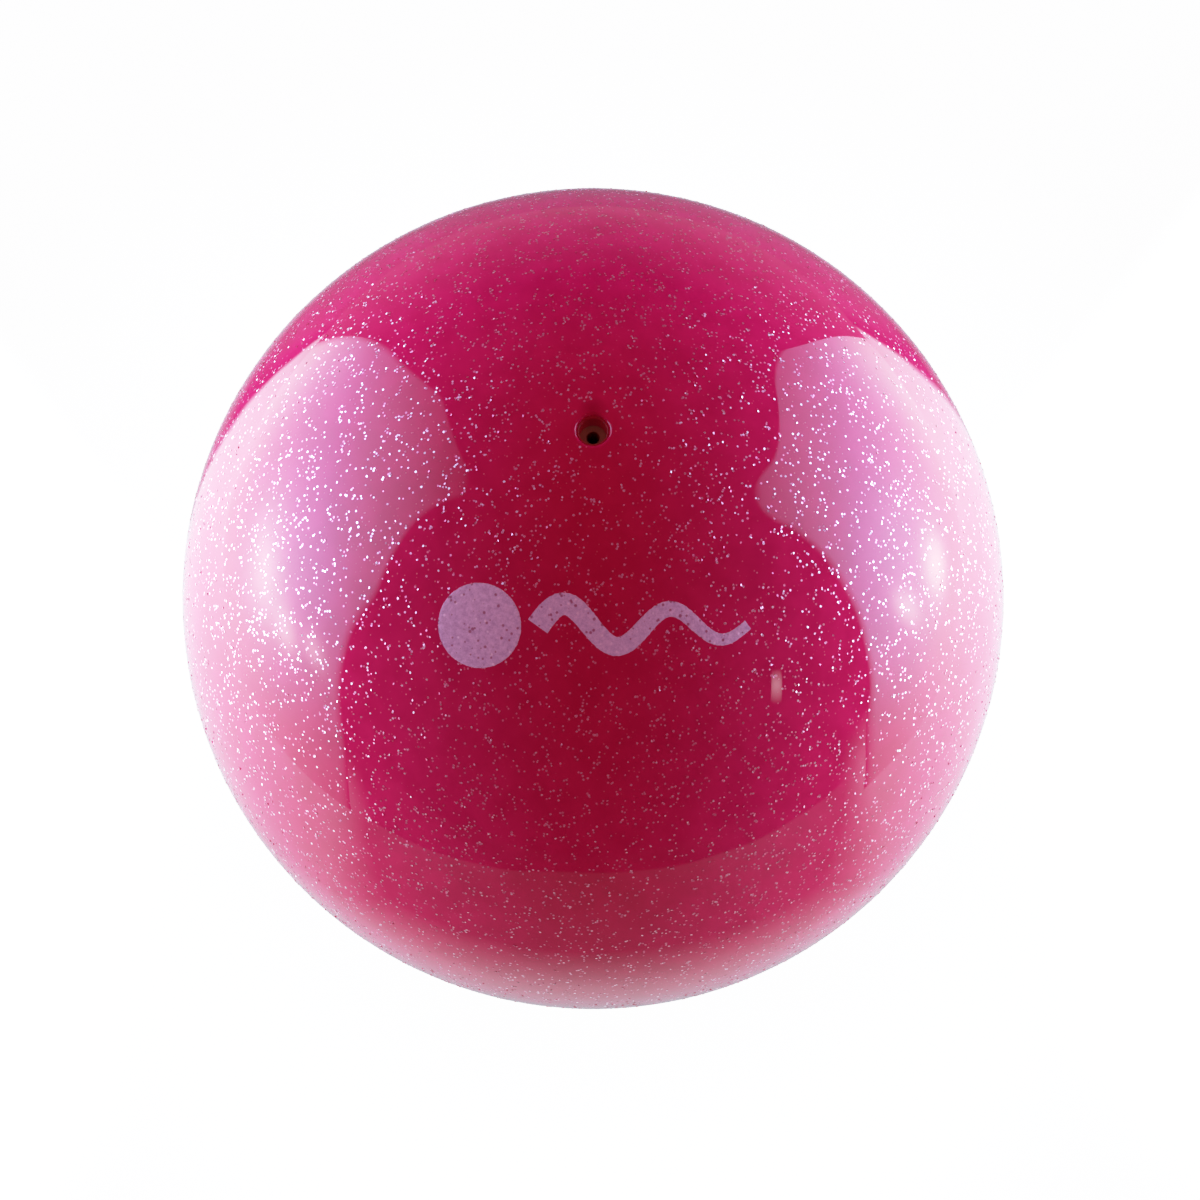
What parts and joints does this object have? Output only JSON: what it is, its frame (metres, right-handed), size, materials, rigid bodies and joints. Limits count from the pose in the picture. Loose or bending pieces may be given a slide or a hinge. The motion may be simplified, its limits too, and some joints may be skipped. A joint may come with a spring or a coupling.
{
  "type": "rhythmic gymnastics ball",
  "caption": "Glossy pink glitter ball for rhythmic gymnastics: hollow soft wall, clear glitter coat, recessed self-sealing needle valve and a plain printed mark.",
  "frame": {"origin": "the ball's centre", "axes": "+Z along the valve's axis, out of the ball through the valve; -Y towards the printed mark; +X to the right of the mark as it is looked at with the valve above it"},
  "size_m": [0.185, 0.185, 0.1849],
  "materials": {
    "glitter_vinyl": "clear pink vinyl with silver glitter flakes in it, high gloss",
    "pink_vinyl": "solid crimson pink soft vinyl, satin",
    "valve_rubber": "dark crimson moulded rubber, satin",
    "core_rubber": "brown natural rubber, matt",
    "ink": "pale lilac printing ink, worn and slightly see-through, semi-gloss"
  },
  "bodies": {
    "root": {"glitter_coat": "glitter_vinyl", "ball_wall": "pink_vinyl", "valve_housing": "valve_rubber", "valve_core": "core_rubber", "printed_disc": "ink", "printed_ribbon": "ink"}
  },
  "joints": []
}
